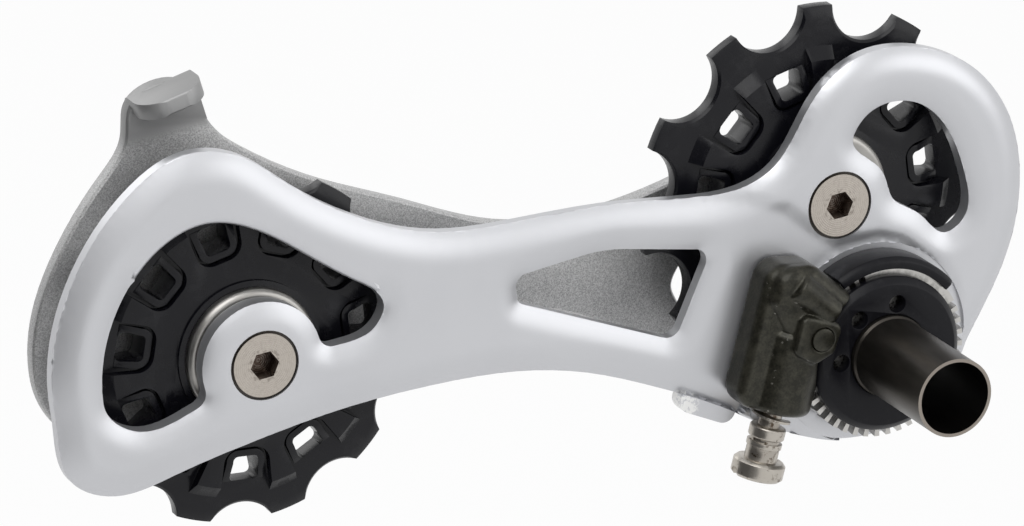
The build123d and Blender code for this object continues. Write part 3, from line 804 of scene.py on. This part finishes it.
# %% Dress the other pieces
plain_steel = ("guide_bush", "tension_bush", "thrust_washer", "housing_rivets", "guide_cap_outer",
               "guide_cap_inner", "tension_cap_outer", "tension_cap_inner")
for node in ("guide_bolt", "tension_bolt"):
    dress(node, nickel)
for node in plain_steel:
    dress(node, steel)
dress("pivot_sleeve", blackened)
dress("toothed_ring", bare)
print("pieces with their own solid:", len(plain_steel) + 4)

# %% [markdown]
# ## The camera
# The photograph was taken from up and to the left with a long lens. The place, aim and roll were
# solved from the wheels' teeth and the bolt heads.

# %% Camera
camera_roll = math.radians(-6.85)
camera_data = bpy.data.cameras.new("camera")
camera_data.lens = 221.4
camera_data.sensor_width = 36.0
camera_data.clip_start = 0.02
camera_data.clip_end = 20.0
camera = bpy.data.objects.new("camera", camera_data)
bpy.context.collection.objects.link(camera)
camera.location = Vector((-294.15, -611.87, 284.66)) * MM
aim = Vector((-43.79, 0.0, 22.01)) * MM - camera.location
camera.rotation_mode = "QUATERNION"
camera.rotation_quaternion = aim.to_track_quat("-Z", "Y") @ Quaternion((0, 0, 1), camera_roll)
bpy.context.scene.camera = camera
print("camera distance:", round(aim.length / MM), "mm")

# %% [markdown]
# ## The floor
# The photograph's background is pure white. The floor is a large white disc 90 mm below the part.

# %% White floor
floor_gap = 0.09
floor_mesh = bmesh.new()
bmesh.ops.create_circle(floor_mesh, cap_ends=True, radius=4.0, segments=96)
floor_data = bpy.data.meshes.new("floor")
floor_mesh.to_mesh(floor_data)
floor_mesh.free()
floor = bpy.data.objects.new("floor", floor_data)
bpy.context.collection.objects.link(floor)
floor.location.z = cad_box[0].z - floor_gap
print("floor at", round(floor.location.z / MM, 1), "mm")

# %% [markdown]
# ## White that doesn't wash out the part
# A floor and a world bright enough to look pure white would light the part from all sides and leave
# it flat. The Light Path node tells which kind of ray meets them: camera rays, reflections and rays
# through clear materials get the white, and the light that they cast on the part is weaker. The
# floor keeps a small share of its own shading, so that a trace of the part's shadow stays.

# %% Rays that look at something directly
def seen_directly(start):
    """One for rays of the camera, of reflections and of clear materials."""
    path = start.node("LightPath").socket.node
    kinds = ("Is Camera Ray", "Is Glossy Ray", "Is Transmission Ray")
    seen, *others = [Wire(start.tree, path.outputs[kind]) for kind in kinds]
    for ray in others:
        seen = seen.maths("MAXIMUM", ray)
    return seen

# %% Finish of the floor
floor_white_share = 0.93
floor_finish = bpy.data.materials.new("floor_white")
floor_finish.use_nodes = True
tree = floor_finish.node_tree
shader = tree.nodes["Principled BSDF"]
shader.inputs["Base Color"].default_value = (0.86, 0.86, 0.86, 1)
shader.inputs["Roughness"].default_value = 0.9
start = Wire(tree, shader.outputs[0])
glow = start.node("Emission", {}, {"Color": (1, 1, 1, 1), "Strength": 1.0})
share = seen_directly(start) * floor_white_share
mix = start.node("MixShader", {}, {0: share, 1: start, 2: glow})
tree.links.new(mix.socket, tree.nodes["Material Output"].inputs["Surface"])
floor_data.materials.append(floor_finish)
print("white of the floor:", floor_white_share)

# %% World
world_strength = 0.5
world = bpy.data.worlds.new("studio")
bpy.context.scene.world = world
world.use_nodes = True
tree = world.node_tree
sky = Wire(tree, tree.nodes["Background"].outputs[0])
tree.nodes["Background"].inputs["Color"].default_value = (0.97, 0.98, 1.0, 1)
tree.nodes["Background"].inputs["Strength"].default_value = world_strength
white = sky.node("Background", {}, {"Color": (1, 1, 1, 1), "Strength": 1.0})
mix = sky.node("MixShader", {}, {0: seen_directly(sky), 1: sky, 2: white})
tree.links.new(mix.socket, tree.nodes["World Output"].inputs["Surface"])
print("world's light:", world_strength)

# %% [markdown]
# ## A dark card
# Bright metal in a white room has no contrast. A dark card stands to the left, in front of the part
# and out of the picture. It takes no light away and casts no shadow: it only shows as a dark
# reflection in what faces it.

# %% Dark card
card_half_side = 0.26
card_mesh = bmesh.new()
bmesh.ops.create_grid(card_mesh, x_segments=1, y_segments=1, size=card_half_side)
card_data = bpy.data.meshes.new("dark_card")
card_mesh.to_mesh(card_data)
card_mesh.free()
card = bpy.data.objects.new("dark_card", card_data)
bpy.context.collection.objects.link(card)
card.location = Vector((-300, -190, 60)) * MM
card.rotation_euler = (0, math.radians(90), 0)
card.scale = (1.1, 1.5, 1)
card.visible_camera = False
card.visible_diffuse = False
card.visible_shadow = False
card_finish, shader, place = start_finish("card_dark", {"Roughness": 0.9})
card_tone = place.noise(60.0).tint((0.02, 0.02, 0.02, 1), (0.035, 0.035, 0.035, 1))
connect(shader, {"Base Color": card_tone})
card_data.materials.append(card_finish)

# %% [markdown]
# ## The lamps
# A large key lamp above the camera's side gives broad soft highlights. A weaker fill comes from the
# right, and a faint one from behind lights the back.

# %% Lamps
def softbox(name, place, aim, size, power):
    """A square lamp at a place in millimetres, facing another."""
    lamp = bpy.data.lights.new(name, "AREA")
    lamp.shape = "SQUARE"
    lamp.size = size * MM
    lamp.energy = power
    item = bpy.data.objects.new(name, lamp)
    bpy.context.collection.objects.link(item)
    item.location = Vector(place) * MM
    item.rotation_mode = "QUATERNION"
    item.rotation_quaternion = (Vector(aim) - Vector(place)).to_track_quat("-Z", "Y")


middle = (-38, 0, 15)
softbox("key", (-250, -450, 650), middle, 640, 3.2)
softbox("fill", (520, -520, 160), middle, 500, 1.0)
softbox("back", (-200, 550, 420), middle, 400, 0.7)
print("lamps:", len(bpy.data.lights))

# %% [markdown]
# ## The view transform
# The scene shows its colours through the Standard view transform. The dressed part has
# to stay inside the box of the imported solids.

# %% Standard view transform
scene = bpy.context.scene
scene.view_settings.view_transform = "Standard"
